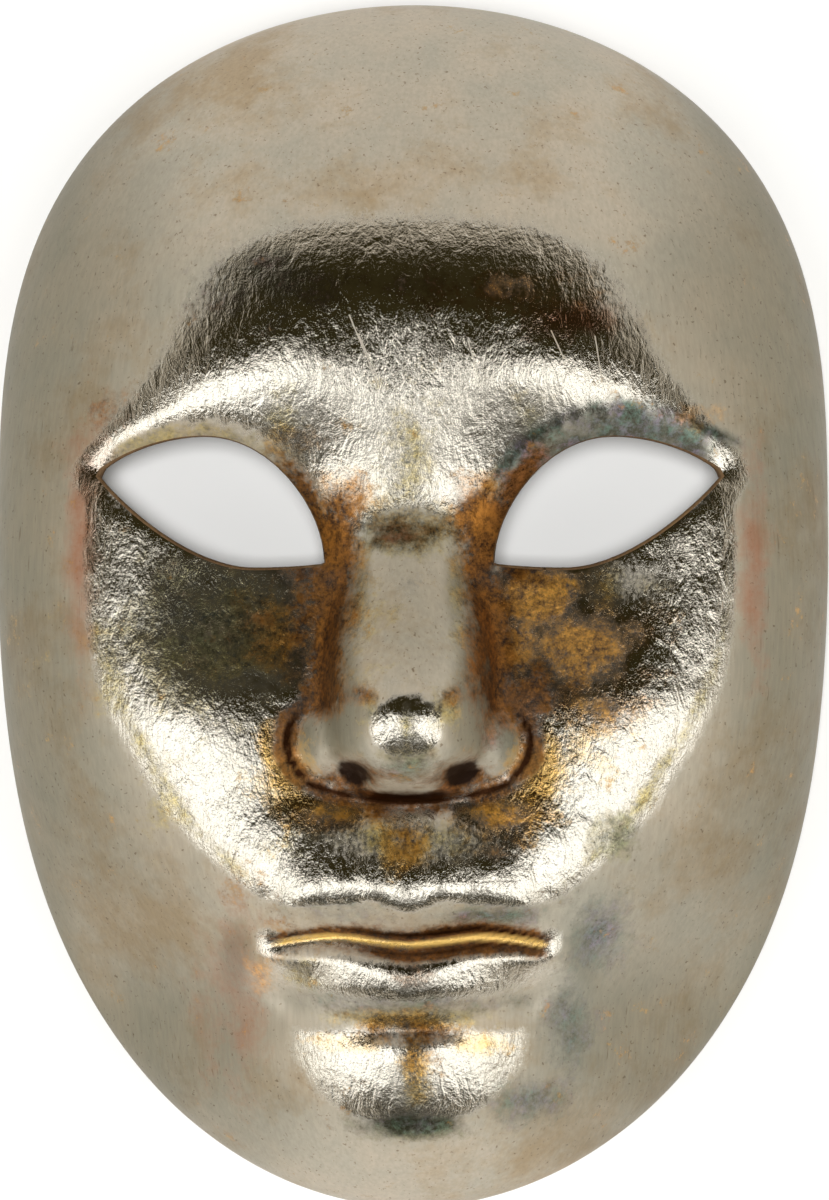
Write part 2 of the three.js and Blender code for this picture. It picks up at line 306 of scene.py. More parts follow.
# Border of each patina, painted shade and painted highlight: how ragged it is, and the values
# where it starts and is full
PATINA_BORDERS = {
    "rust_and_shade": (2.0, 0.2, 0.8),
    "gold": (2.0, 0.25, 0.85),
    "green": (2.0, 0.2, 0.9),
    "red": (1.6, 0.2, 0.9),
    "ochre": (1.5, 0.2, 0.9),
    "crease_shade": (1.0, 0.3, 0.8),
    "pit": (1.2, 0.3, 0.8),
    "mouth_highlight": (0.8, 0.35, 0.9),
    "tarnish_and_shade": (2.4, 0.25, 1.0),
}
# Border of the painted reflection, ragged along the wrinkles: how ragged, where it starts and is
# full
PAINTED_REFLECTION_BORDER = (1.8, 0.25, 0.75)

# Colours, linear; a list holds the stops of a ramp
LEAF_PALE = (0.80, 0.76, 0.67)
LEAF_DEEP = (0.66, 0.61, 0.51)
# Painted reflection: grey paint for the steep slopes, with blotches, specks and brush hairs
PAINTED_REFLECTION = [(0.35, (0.45, 0.41, 0.325)), (0.65, (0.53, 0.455, 0.35))]
PAINTED_REFLECTION_BLOTCH = (0.38, 0.27, 0.14)
PAINTED_REFLECTION_SPECK = (0.16, 0.10, 0.045)
PAINTED_REFLECTION_HAIR = (0.20, 0.14, 0.08)
# Painted shade on the nose's bridge and on surfaces that face sideways
SIDE_SHADE_TINT = (0.46, 0.46, 0.40)
# Tones of tarnished leaf, also used as painted shade
TARNISH_AND_SHADE_TONES = [(0.42, (0.05, 0.05, 0.014)), (0.58, (0.62, 0.50, 0.18))]
GREEN_HAZE = (0.25, 0.29, 0.26)
VERDIGRIS = [(0.42, (0.09, 0.17, 0.13)), (0.58, (0.19, 0.16, 0.22))]
VERDIGRIS_DARK = (0.02, 0.022, 0.006)
COPPER = (0.60, 0.30, 0.20)
COPPER_TINT = (0.72, 0.52, 0.42)
GILDING = (0.95, 0.60, 0.16)
# Painted highlight, gold in tone, along the bottom of the mouth line
MOUTH_HIGHLIGHT = (0.95, 0.62, 0.18)
EARTH = [(0.42, (0.09, 0.03, 0.004)), (0.57, (1.0, 0.49, 0.07))]
# Rust colours, also used as painted shade on the nose's flanks
RUST_AND_SHADE = [(0.42, (0.025, 0.008, 0.002)), (0.59, (0.34, 0.13, 0.02))]
SCRATCH = (0.30, 0.25, 0.17)
# Painted shade: near black, for creases and under the nose
CREASE_SHADE = (0.035, 0.011, 0.002)
NOSTRIL_SHADE = (0.02, 0.008, 0.003)
CUT_PAPER = [(0.35, (0.05, 0.025, 0.01)), (0.65, (0.17, 0.10, 0.045))]
LINING = [(0.35, (0.36, 0.28, 0.18)), (0.65, (0.58, 0.49, 0.36))]
FLOOR_PAINT = (0.85, 0.85, 0.84)
ROOM_WALLS = (0.58, 0.53, 0.46)
ROOM_CEILING = (0.03, 0.024, 0.009)

# Grid of the surface: columns, rows, how much finer they are around the nose, how the grid
# spreads towards the outline, rings down the upright edge, and how it meets the eye openings
COLUMNS = 156
ROWS = 236
FINENESS = 0.45
FINE_ROW = -0.42
SPREAD = 0.46
EDGE_RINGS = 10
RIM_RADIUS = 0.7
SNAP_SHARE = 0.32
RELAX_REACH = 8
SMOOTHING_ROUNDS = 6
TILT_ROUNDS = 4

# Camera, lamps and floor in metres, the sensor in millimetres
CAMERA_DISTANCE = 1.4
CAMERA_SIDE = 0.026
FRAMED_HEIGHT = 0.2424
SENSOR_HEIGHT = 24
LAMP_TARGET = (0, 0, 0.05)
FLOOR_HALF = 4.0


def ease(low, high, value):
    t = np.clip((value - low) / (high - low), 0, 1)
    return t * t * t * (t * (6 * t - 15) + 10)


def bell(distance, width):
    return np.exp(-((distance / width) ** 2))


def soft_max(a, b, blend):
    return np.maximum(a, b) + blend * np.log1p(np.exp(-np.abs(a - b) / blend))


def bend(value, knots, blend):
    """Value of a line through the knots, its corners rounded over about the blend length."""
    places = [k[0] for k in knots]
    heights = [k[1] for k in knots]
    slopes = [
        (heights[i] - heights[i - 1]) / (places[i] - places[i - 1]) for i in range(1, len(knots))
    ]
    result = heights[0] + slopes[0] * (value - places[0])
    for i in range(1, len(slopes)):
        t = (value - places[i]) / blend
        past = np.maximum(t, 0) + np.log1p(np.exp(-np.abs(t)))
        result = result + (slopes[i] - slopes[i - 1]) * blend * past
    return result


def half_width_at(y):
    """Half the mask's width at a height y."""
    half = HEIGHT / 2
    up = np.clip((y - WIDEST_Y) / (half - WIDEST_Y), 0, 1)
    down = np.clip((WIDEST_Y - y) / (WIDEST_Y + half), 0, 1)
    crown = np.sqrt(1 - up**CROWN_POWER)
    jaw = (1 - down**JAW_POWER) ** JAW_ROUNDNESS
    return HALF_WIDTH * np.where(y > WIDEST_Y, crown, jaw)


def outline_radius(cosine, sine):
    """Distance from the middle to the outline in a direction, by halving."""
    low = np.zeros_like(cosine)
    high = np.full_like(cosine, HEIGHT)
    for _ in range(44):
        middle = (low + high) / 2
        y = middle * sine
        inside = (np.abs(y) < HEIGHT / 2) & (np.abs(middle * cosine) < half_width_at(y))
        low = np.where(inside, middle, low)
        high = np.where(inside, high, middle)
    return low


def turn_away(side, y):
    """Height lost to the side, as the face turns away from the middle line."""
    start = bend(y, TURN_START, ROW_BLEND)
    length = bend(y, TURN_LENGTH, ROW_BLEND)

    def past(distance):
        q = distance - start
        return (q + np.hypot(q, TURN_BLEND)) / 2

    here = np.hypot(past(np.hypot(side, CREST_ROUND)), length)
    middle = np.hypot(past(CREST_ROUND), length)
    return bend(y, TURN_SLOPE, ROW_BLEND) * (here - middle)


def shell(x, y):
    """The plain shell: face height in the middle, a rounded shoulder, an upright edge."""
    radius = np.hypot(x, y) + 1e-9
    sine = y / radius
    share = np.minimum(radius / outline_radius(x / radius, sine), 1)
    edge = np.maximum(bend(sine, EDGE_HEIGHT, SINE_BLEND), 2 * RIM_RADIUS)
    face = bend(y, MIDDLE, MIDDLE_BLEND) - turn_away(np.abs(x), y)
    return edge + (face - edge) * np.sqrt(1 - share ** bend(sine, SHOULDER, SINE_BLEND))


def sockets(side, y):
    drop = bend(y, SOCKET_DROP, SOCKET_ROW_BLEND)
    return -drop * bend(side, SOCKET_SHARE, SOCKET_SIDE_BLEND)


def brow(side, y):
    line = bend(np.hypot(side, BROW["round"]), BROW_LINE, BROW["blend"])
    middle = 1 - BROW_DIP["share"] * bell(side, BROW_DIP["width"])
    ridge = BROW["rise"] * bell(y - line, BROW["width"])
    return ridge * (1 - ease(*BROW["fade"], side)) * middle


def nose_tip(side, y):
    """Rounded tip that turns under ever faster to its sides and below."""
    below = np.maximum(TIP["y"] - y, 0)
    across = side * (1 + (side / TIP["width"]) ** 3)
    above = np.maximum(y - TIP["y"], 0)
    along = TIP["above"] * above + below * (1 + (below / TIP["height"]) ** 3)
    away = np.hypot(np.hypot(across, along), TIP["round"]) - TIP["round"]
    return TIP["z"] - TIP["slope"] * np.minimum(away, HEIGHT)


def wing_share(side, y):
    """1 on the outline of the nose's wing, less inside it."""
    return np.hypot((side - WING["x"]) / WING["half_width"], (y - WING["y"]) / WING["half_height"])


def wing(side, y):
    """Upper half of an ellipsoid, falling away steeply beyond its outline."""
    share = wing_share(side, y)
    top = np.sqrt(np.maximum(1 - share * share, 1e-4))
    return WING["z"] + WING["rise"] * top - WING["fall"] * np.maximum(share - 1, 0)


def nose(side, y):
    past = np.hypot(side, NOSE_CREST) - bend(y, NOSE_FLAT, NOSE_FLAT_BLEND)
    flank = bend(y, NOSE_FLANK_SLOPE, NOSE_ROW_BLEND) * (past + np.hypot(past, NOSE_EDGE)) / 2
    ridge = bend(y, NOSE_RIDGE, NOSE_ROW_BLEND) - flank
    front = soft_max(ridge, nose_tip(side, y), NOSE_FRONT_BLEND)
    return soft_max(front, wing(side, y), NOSE_FRONT_BLEND)


def nostril(side, y):
    turn = math.radians(NOSTRIL["angle"])
    dx = side - NOSTRIL["x"]
    dy = y - NOSTRIL["y"]
    along = (dx * math.cos(turn) + dy * math.sin(turn)) / NOSTRIL["length"]
    across = (dy * math.cos(turn) - dx * math.sin(turn)) / NOSTRIL["width"]
    away = along * along + across * across
    return -NOSTRIL["depth"] * np.exp(-(away ** NOSTRIL["power"]))


def muzzle(side, y):
    return sum(
        height * bell(side - middle, width) * ease(*start, y) * ease(*end, y)
        for height, middle, width, start, end in MUZZLE_FORMS
    )


def lips(side, y):
    line = bend(side, MOUTH_LINE, MOUTH_BLEND)
    share = np.minimum(side / MOUTH_HALF_WIDTH, 0.99)
    thin = np.sqrt(1 - share**2)
    full = np.sqrt(1 - share**5)
    upper = bend((y - line) / thin, UPPER_LIP, UPPER_LIP_BLEND) * thin
    lower = bend((line - y) / full, LOWER_LIP, LOWER_LIP_BLEND) * full
    profile = np.where(y > line, upper, lower) * (1 - ease(*LIP_FADE, side))
    pillow = ease(*MOUTH_CORNER["start"], side) * (1 - ease(*MOUTH_CORNER["end"], side))
    corner = MOUTH_CORNER["rise"] * pillow * bell(y - MOUTH_CORNER["y"], MOUTH_CORNER["width"])
    beyond = np.hypot(side, LIP_TURN["round"]) - LIP_TURN["round"]
    lower_lip = bell(line - y - LIP_TURN["drop"], LIP_TURN["width"])
    turn = beyond * lower_lip * (1 - ease(*LIP_TURN["fade"], side))
    return profile + corner - LIP_TURN["slope"] * turn


def chin(side, y):
    across = CHIN["rise"] - CHIN["slope"] * (np.hypot(side, CHIN["round"]) - CHIN["round"])
    below = CREASE["y"] - y - side**2 / CREASE["curve"]
    along = ease(-CHIN["start"], CHIN["start"], below) * ease(*CHIN["foot"], y)
    crease = CREASE["depth"] * bell(side, CREASE["half_width"]) * bell(below, CREASE["width"])
    return (soft_max(across, 0, 1) - CHIN["sink"]) * along - crease


def curve_points(start, curves, steps):
    """Points along cubic curves that follow each other, without the last one."""
    points = []
    here = np.array(start, float)
    t = np.linspace(0, 1, steps, endpoint=False)[:, None]
    for first, second, end in curves:
        first, second, end = (np.array(p, float) for p in (first, second, end))
        points.append(
            (1 - t) ** 3 * here
            + 3 * (1 - t) ** 2 * t * first
            + 3 * (1 - t) * t**2 * second
            + t**3 * end
        )
        here = end
    return np.concatenate(points)


eye_outline = curve_points(EYE_INNER, EYE_CURVES, EYE_CURVE_STEPS)


def eye_distance(side, y):
    """Distance to the eye's outline, negative inside the eye, and the nearest point on it."""
    shape = np.broadcast(side, y).shape
    place = np.stack([np.broadcast_to(side, shape).ravel(), np.broadcast_to(y, shape).ravel()], -1)
    best = np.full(len(place), 1e9)
    nearest = np.zeros_like(place)
    inside = np.zeros(len(place), bool)
    for a, b in zip(eye_outline, np.roll(eye_outline, -1, axis=0)):
        along = b - a
        t = np.clip(((place - a) @ along) / (along @ along), 0, 1)
        foot = a + t[:, None] * along
        gap = np.hypot(*(place - foot).T)
        closer = gap < best
        best = np.where(closer, gap, best)
        nearest[closer] = foot[closer]
        spans = (a[1] > place[:, 1]) != (b[1] > place[:, 1])
        rise = along[1] if along[1] else 1e-9
        inside ^= spans & (place[:, 0] < a[0] + along[0] * (place[:, 1] - a[1]) / rise)
    signed = np.where(inside, -best, best)
    return signed.reshape(shape), nearest.reshape(shape + (2,))


def above_eye(side, y):
    """Height above the slanting line that runs through the eye."""
    return y - (EYE_LINE["y"] + EYE_LINE["slope"] * (side - EYE_LINE["x"]))


def eyelid(side, y):
    """Drop of the skin that rolls in towards the eye opening, deepest above it."""
    depth = np.zeros(np.broadcast(side, y).shape)
    near = (side > LID_SIDES[0]) & (side < LID_SIDES[1]) & (y > LID_ROWS[0]) & (y < LID_ROWS[1])
    gap = eye_distance(side[near], y[near])[0]
    above = bend(above_eye(side[near], y[near]), LID_SHARE, LID_BLEND)
    depth[near] = LID_DEPTH * above * (1 - ease(-2, LID_WIDTH, gap))
    return depth


def surface_height(x, y):
    """Height of the mask's outer surface over the rim plane."""
    side = np.abs(x)
    plain = shell(x, y) + sockets(side, y) + brow(side, y)
    carved = plain + lips(side, y) + chin(side, y) + muzzle(side, y)
    blend = NOSE_BLEND + NOSE_ROOT_BLEND * ease(*NOSE_ROOT_ROWS, y)
    return soft_max(carved - eyelid(side, y), nose(side, y), blend) + nostril(side, y)


def grid_line(count, centre):
    """Grid lines from -1 to 1, closer together around the centre."""
    t = np.linspace(-1, 1, count + 1)
    curve = t + FINENESS * ((t - centre) ** 3 - (t - centre))
    return 2 * (curve - curve[0]) / (curve[-1] - curve[0]) - 1


def face_grid():
    """Places (x, y) of the grid that covers the face up to its outline."""
    u, v = np.meshgrid(grid_line(COLUMNS, 0), grid_line(ROWS, FINE_ROW))
    p = u * np.sqrt(1 - v * v / 2)
    q = v * np.sqrt(1 - u * u / 2)
    share = np.hypot(p, q)
    cosine = np.where(share > 1e-9, p / np.maximum(share, 1e-9), 1)
    sine = np.where(share > 1e-9, q / np.maximum(share, 1e-9), 0)
    share = np.minimum(share, 1)
    radius = outline_radius(cosine, sine) * share * (1 + SPREAD - SPREAD * share * share)
    return radius * cosine, radius * sine


def snap_to_eyes(x, y):
    """Distance of grid places beyond the lip of the eye openings, and the nearest places on it."""
    gap, nearest = eye_distance(np.abs(x), y)
    outward = np.stack([np.abs(x), y], -1) - nearest
    outward *= np.sign(gap)[..., None] / np.maximum(np.abs(gap), 1e-9)[..., None]
    return gap - RIM_RADIUS, nearest + RIM_RADIUS * outward


def place_face():
    """Face grid laid along the eye openings, the faces kept, the places moved, and all indices."""
    x, y = face_grid()
    gap, lip = snap_to_eyes(x, y)
    index = np.arange(x.size).reshape(x.shape)
    quads = np.stack([index[:-1, :-1], index[:-1, 1:], index[1:, 1:], index[1:, :-1]], -1)
    quads = quads.reshape(-1, 4)
    x, y, gap, lip = x.ravel(), y.ravel(), gap.ravel(), lip.reshape(-1, 2)
    step = np.hypot(x[quads[:, 0]] - x[quads[:, 2]], y[quads[:, 0]] - y[quads[:, 2]])
    cell = np.zeros(x.size)
    np.maximum.at(cell, quads.ravel(), np.repeat(step, 4))
    close = np.abs(gap) < SNAP_SHARE * cell
    outside = (gap > 0) & ~close
    keep = outside[quads].any(1)
    quads = quads[keep]
    moved = np.zeros(x.size, bool)
    moved[quads.ravel()] = True
    moved &= ~outside
    x[moved] = np.sign(x[moved]) * lip[moved, 0]
    y[moved] = lip[moved, 1]
    return x, y, quads, moved, index


def quad_edges(quads):
    """The four directed edges of every quad."""
    return np.concatenate([quads[:, [0, 1]], quads[:, [1, 2]], quads[:, [2, 3]], quads[:, [3, 0]]])


def relax(x, y, quads, fixed, rounds):
    """Evens out the grid near the eye openings without moving the fixed places."""
    edges = quad_edges(quads)
    count = np.bincount(edges.ravel(), minlength=x.size)
    free = (count > 0) & ~fixed
    for _ in range(rounds):
        for values in (x, y):
            total = np.zeros(x.size)
            np.add.at(total, edges[:, 0], values[edges[:, 1]])
            np.add.at(total, edges[:, 1], values[edges[:, 0]])
            values[free] += 0.5 * (total[free] / count[free] - values[free])


def boundary_loops(quads):
    """Ordered loops of the sheet's open edges, the sheet on their left."""
    there = {(a, b) for a, b in quad_edges(quads).tolist()}
    following = {a: b for a, b in there if (b, a) not in there}
    loops = []
    while following:
        start, here = following.popitem()
        loop = [start]
        while here != start:
            loop.append(here)
            here = following.pop(here)
        loops.append(loop)
    return loops


def make_mesh(name, vertices, faces):
    """Smooth-shaded mesh in metres from vertices in millimetres."""
    mesh = bpy.data.meshes.new(name)
    mesh.from_pydata((vertices / 1000).tolist(), [], faces)
    mesh.polygons.foreach_set("use_smooth", [True] * len(mesh.polygons))
    mesh.update()
    return mesh


def outer_sheet():
    """Vertices and quads of the outer surface, down the upright edge to just above the rim."""
    x, y, quads, moved, index = place_face()
    border = np.zeros(x.size, bool)
    for line in (index[0], index[-1], index[:, 0], index[:, -1]):
        border[line] = True
    gap = eye_distance(np.abs(x), y)[0]
    relax(x, y, quads, moved | border | (gap > RELAX_REACH), SMOOTHING_ROUNDS)
    vertices = np.stack([x, y, surface_height(x, y)], -1)
    outline = np.concatenate([index[0], index[1:, -1], index[-1, -2::-1], index[-2:0:-1, 0]])
    rings = [outline]
    points = [vertices]
    for ring in range(1, EDGE_RINGS + 1):
        down = ring / EDGE_RINGS
        edge = vertices[outline].copy()
        edge[:, 2] = RIM_RADIUS + (edge[:, 2] - RIM_RADIUS) * (1 - down)
        rings.append(sum(len(p) for p in points) + np.arange(len(outline)))
        points.append(edge)
    faces = [quads]
    for upper, lower in zip(rings, rings[1:]):
        faces.append(np.stack([upper, lower, np.roll(lower, -1), np.roll(upper, -1)], -1))
    return np.concatenate(points), np.concatenate(faces)


def tidy(vertices, quads):
    """Leaves out the vertices that no face uses."""
    used = np.unique(quads)
    renumber = np.zeros(len(vertices), int)
    renumber[used] = np.arange(len(used))
    return vertices[used], renumber[quads]


def normals_of(vertices, faces):
    mesh = make_mesh("measure", vertices, faces.tolist())
    normals = np.zeros(len(vertices) * 3, np.float32)
    mesh.vertex_normals.foreach_get("vector", normals)
    bpy.data.meshes.remove(mesh)
    return normals.reshape(-1, 3).astype(float)


def soften(vertices, quads, fixed, rounds):
    """Moves each vertex that isn't fixed towards the middle of its neighbours."""
    edges = quad_edges(quads)
    count = np.bincount(edges.ravel(), minlength=len(vertices))[:, None]
    for _ in range(rounds):
        total = np.zeros_like(vertices)
        np.add.at(total, edges[:, 0], vertices[edges[:, 1]])
        np.add.at(total, edges[:, 1], vertices[edges[:, 0]])
        even = 0.5 * vertices + 0.5 * total / count
        vertices = np.where(fixed[:, None], vertices, even)
    return vertices


def rim_profile():
    """Steps round a cut edge: distance beyond the sheet and depth below its outer face."""
    radius = RIM_RADIUS
    arc = [math.radians(a) for a in (30, 60, 90)]
    upper = [(radius * math.sin(a), radius * (1 - math.cos(a))) for a in arc]
    lower = [(out, WALL_THICKNESS - down) for out, down in reversed(upper)]
    return upper + [(radius, WALL_THICKNESS / 2)] + lower


def build_shell():
    """The closed shell: outer sheet, inner sheet and a rounded cut edge round each opening."""
    outer, quads = tidy(*outer_sheet())
    normals = normals_of(outer, quads)
    loops = boundary_loops(quads)
    fixed = np.zeros(len(outer), bool)
    for loop in loops:
        fixed[loop] = True
    rim = max(loops, key=len)
    flat = normals[rim].copy()
    flat[:, 2] = 0
    normals[rim] = flat / np.linalg.norm(flat, axis=1, keepdims=True)
    inner = soften(outer - WALL_THICKNESS * normals, quads, fixed, SMOOTHING_ROUNDS)
    inner[:, 2] = np.maximum(inner[:, 2], RIM_RADIUS)
    count = len(outer)
    points = [outer, inner]
    faces = [quads, quads[:, ::-1] + count]
    kinds = [np.zeros(len(quads), int), np.full(len(quads), 2)]
    total = 2 * count
    for loop in loops:
        loop = np.array(loop)
        along = outer[np.roll(loop, -1)] - outer[np.roll(loop, 1)]
        beyond = np.cross(along, normals[loop])
        beyond /= np.linalg.norm(beyond, axis=1, keepdims=True)
        rings = [loop]
        for out, depth in rim_profile():
            points.append(outer[loop] + out * beyond - depth * normals[loop])
            rings.append(total + np.arange(len(loop)))
            total += len(loop)
        rings.append(loop + count)
        for upper, lower in zip(rings, rings[1:]):
            strip = np.stack([upper, lower, np.roll(lower, -1), np.roll(upper, -1)], -1)
            faces.append(strip)
            kinds.append(np.full(len(strip), 1))
    return np.concatenate(points), np.concatenate(faces), np.concatenate(kinds)


def tilt_of(normals):
    """Tilt of the surface away from +Z, in degrees."""
    return np.degrees(np.arccos(np.clip(normals[:, 2], -1, 1)))


def add_field(mesh, name, values):
    """Stores one number per vertex for the materials."""
    field = mesh.attributes.new(name, "FLOAT", "POINT")
    field.data.foreach_set("value", np.clip(values, 0, 1).astype(np.float32))


def spot(x, y, centre, size, power=2.0):
    """Soft oval patch: 1 in its middle, fading to nothing outside the half-sizes."""
    away = np.hypot((x - centre[0]) / size[0], (y - centre[1]) / size[1])
    return np.exp(-(away**power))


def patches(x, y, places):
    """Strongest of several soft patches, each with its centre, half-sizes and strength."""
    return np.maximum.reduce([s * spot(x, y, c, h) for c, h, s in places])


def above_mouth(side, y):
    return y - bend(side, MOUTH_LINE, MOUTH_BLEND)


def mouth_end(side):
    """1 along the mouth, 0 past its corners."""
    return 1 - ease(24, 30, side)


def line_width(side):
    """How wide the marks along the mouth line are, thinner towards its corners."""
    return 1 - 0.45 * ease(8, 28, side)


def lid_share(x, y, gap):
    """1 on the skin close above an eye opening, reaching a little further on the left eye."""
    side = np.abs(x)
    reach = 4.6 + 1.6 * ease(-5, 5, x)
    close = 1 - ease(reach - 2, reach, gap)
    return close * ease(-2, 6, above_eye(side, y)) * (1 - ease(54, 62, side))


def painted_reflection_field(x, y, gap, tilt, lid):
    """Painted reflection: grey paint on the steep slopes, round the nose's ball and in places."""
    side = np.abs(x)
    bare = np.maximum(spot(side, y, (0, -71), (27, 7), 6), 1 - ease(3.5, 7, gap))
    # Painted reflection by tilt: grey where the steep leaf would mirror the pale surroundings
    steep = ease(29, 38, tilt) * (1 - bare)
    under_eye = 0.45 * spot(x, y, (44, 4), (9, 5))
    from_ball = np.hypot(side / BALL["flat"], y - BALL["y"])
    round_ball = ease(*BALL["border"], from_ball) * spot(side, y, (0, -22), (11, 9), 4)
    lip_top = bell(above_mouth(side, y) + 2.8, 1.8) * (0.55 + 0.2 * ease(2, -14, x))
    lip_top = lip_top * (1 - ease(24, 29, side))
    places = [s * spot(side, y, c, h, power) for c, h, s, power in PAINTED_REFLECTION_PLACES]
    return np.maximum.reduce([steep, 0.8 * lid, under_eye, round_ball, lip_top] + places)


def side_shade_field(side, y, normals):
    """Painted shade: darker on the bridge of the nose and where the surface faces sideways."""
    bridge = 0.36 * spot(side, y, (0, -1), (11, 16), 3)
    return np.maximum(bridge, ease(0.3, 0.85, np.abs(normals[:, 0])))


def crease_shade_field(x, y):
    """Near-black painted shade: mouth line, chin crease, under the nose and round its wings."""
    side = np.abs(x)
    rise = above_mouth(side, y)
    width = line_width(side)
    groove = bell(wing_share(side, y) - 0.97, 0.075) * ease(-17, -26, y) * ease(5, 11, side)
    upper_line = (0.55 + 0.3 * ease(-20, 10, x)) * bell(rise - 1.9 * width, 0.9 * width)
    lower_line = 0.55 * ease(-22, 0, x) * bell(rise + 1.8 * width, 0.8 * width)
    mouth = np.maximum(upper_line, lower_line) * mouth_end(side)
    crease = 0.45 * bell(y - CREASE["y"] + 0.2, 1.0) * (1 - ease(11, 19, np.abs(x + 2)))
    # Painted shadow under the columella
    shadow_under_tip = 1.1 * spot(side, y, (0, -38.2), (13, 1.7), 3)
    return np.maximum.reduce([groove, mouth, crease, shadow_under_tip])


def rust_and_shade_field(x, y, gap):
    """Rust: beside and round the nose, on its flanks also painted shade, along the mouth, in the
    eye corners and in places.
    """
    side = np.abs(x)
    rise = above_mouth(side, y)
    width = line_width(side)
    # Brown rust down the nose's flanks, laid on thick so that it also darkens them as painted shade
    flank = bell(side - (14 + 0.1 * (14 - y)), 5.5) * ease(-27, -18, y) * ease(30, 14, y)
    upper = bell(rise - 1.2, (1.4 + 0.8 * ease(-12, 8, x)) * width)
    lower = bell(rise + 1.7, 1.8 * width) * (0.3 + 0.7 * ease(-20, 0, x))
    mouth = 1.1 * np.maximum(upper, lower) * mouth_end(side)
    corner = (1 - ease(2, 6, gap)) * bell(side - 20, 8) * 0.9
    halo = bell(wing_share(side, y) - 1.02, 0.24) * ease(-14, -20, y) * ease(3, 9, side)
    return np.maximum.reduce([patches(x, y, STAINS), flank, mouth, corner, halo])


def gold_field(x, y):
    """Warm gilding beside the wings of the nose and in places."""
    side = np.abs(x)
    rim = 0.9 * bell(wing_share(side, y) - 1.3, 0.18) * ease(-19, -27, y) * ease(5, 12, side)
    return np.maximum(rim, patches(x, y, GOLD_STAINS))


def green_field(x, y, gap, lid):
    """Verdigris on the left upper lid, in its fold and in places."""
    fold = 0.95 * bell(gap - 6, 1.5) * ease(8, 14, above_eye(np.abs(x), y))
    left_lid = np.maximum(0.85 * lid, fold) * ease(0, 20, x)
    return np.maximum(left_lid, patches(x, y, GREEN_STAINS))


def tarnish_and_shade_field(x, y, tilt, lid):
    """Darker leaf: painted shade in a band where the cheeks grow steep; tarnished leaf on the right
    upper lid and in places, deepening the reflections of the dim room there as painted shade too.
    """
    # Painted shade: a darker band where the cheeks' tilt nears the grey sides
    shade_belt = 0.75 * bell(tilt - 29, 2.5) * ease(24, 40, np.abs(x)) * ease(10, -8, y)
    grey_lid = 0.55 * lid * ease(5, -5, x)
    return np.maximum.reduce([shade_belt, grey_lid, patches(x, y, TARNISH_AND_SHADE)])


def add_fields(mesh, vertices, normals, faces):
    """Stores where wear, patina, painted reflection, shade and highlight lie on the outer surface.
    """
    x = vertices[:, 0]
    y = vertices[:, 1]
    side = np.abs(x)
    gap = eye_distance(side, y)[0]
    none_fixed = np.zeros(len(vertices), bool)
    tilt = soften(tilt_of(normals)[:, None], faces, none_fixed, TILT_ROUNDS)[:, 0]
    lid = lid_share(x, y, gap)
    add_field(mesh, "painted_reflection", painted_reflection_field(x, y, gap, tilt, lid))
    # Painted shade: by how far the surface faces sideways, and on the nose's bridge
    add_field(mesh, "edge", side_shade_field(side, y, normals))
    # Painted shade in the creases and under the nose
    add_field(mesh, "crease_shade", crease_shade_field(x, y))
    # Painted shade: near black, deep in the blind nostrils
    add_field(mesh, "pit", ease(0.15, 0.9, -nostril(side, y) / NOSTRIL["depth"]))
    add_field(mesh, "rust_and_shade", rust_and_shade_field(x, y, gap))
    # Painted highlight, gold in tone, along the bottom of the mouth line
    add_field(mesh, "mouth_highlight", bell(above_mouth(side, y), 1.0) * mouth_end(side))
    add_field(mesh, "gold", gold_field(x, y))
    add_field(mesh, "ochre", patches(x, y, OCHRE_STAINS))
    add_field(mesh, "green", green_field(x, y, gap, lid))
    add_field(mesh, "red", patches(x, y, RED_STAINS))
    # Tarnished leaf and painted shade
    add_field(mesh, "tarnish_and_shade", tarnish_and_shade_field(x, y, tilt, lid))


def new_material(name):
    """A new material, its node tree and its shader."""
    material = bpy.data.materials.new(name)
    material.use_nodes = True
    tree = material.node_tree
    return material, tree, tree.nodes["Principled BSDF"]


def add_node(tree, kind, **settings):
    node = tree.nodes.new(kind)
    for name, value in settings.items():
        setattr(node, name, value)
    return node


def noise(tree, place, scale, detail, roughness, distortion=0.0):
    node = add_node(tree, "ShaderNodeTexNoise")
    node.inputs["Scale"].default_value = scale
    node.inputs["Detail"].default_value = detail
    node.inputs["Roughness"].default_value = roughness
    node.inputs["Distortion"].default_value = distortion
    tree.links.new(place, node.inputs["Vector"])
    return node.outputs["Fac"]


def ramp(tree, value, stops):
    """Colour ramp through (position, colour) stops; a plain number stands for a grey."""
    node = add_node(tree, "ShaderNodeValToRGB")
    elements = node.color_ramp.elements
    while len(elements) < len(stops):
        elements.new(0.5)
    for element, (position, color) in zip(elements, stops):
        element.position = position
        grey = isinstance(color, (int, float))
        element.color = (color, color, color, 1) if grey else (*color, 1)
    tree.links.new(value, node.inputs["Fac"])
    return node.outputs["Color"]


def mix(tree, share, low, high, blend="MIX"):
    """Mixes two colours, or two numbers, by a share; each may be a link or a value."""
    node = add_node(tree, "ShaderNodeMix", data_type="RGBA", blend_type=blend)
    for socket, value in ((node.inputs[0], share), (node.inputs[6], low), (node.inputs[7], high)):
        if isinstance(value, bpy.types.NodeSocket):
            tree.links.new(value, socket)
        elif isinstance(value, (int, float)) and socket.type == "RGBA":
            socket.default_value = (value, value, value, 1)
        elif isinstance(value, (int, float)):
            socket.default_value = value
        else:
            socket.default_value = (*value, 1)
    return node.outputs[2]


def maths(tree, operation, first, second=0.0, clamp=False):
    node = add_node(tree, "ShaderNodeMath", operation=operation, use_clamp=clamp)
    for socket, value in zip(node.inputs, (first, second)):
        if isinstance(value, bpy.types.NodeSocket):
            tree.links.new(value, socket)
        else:
            socket.default_value = value
    return node.outputs[0]


def field(tree, name):
    return add_node(tree, "ShaderNodeAttribute", attribute_name=name).outputs["Fac"]


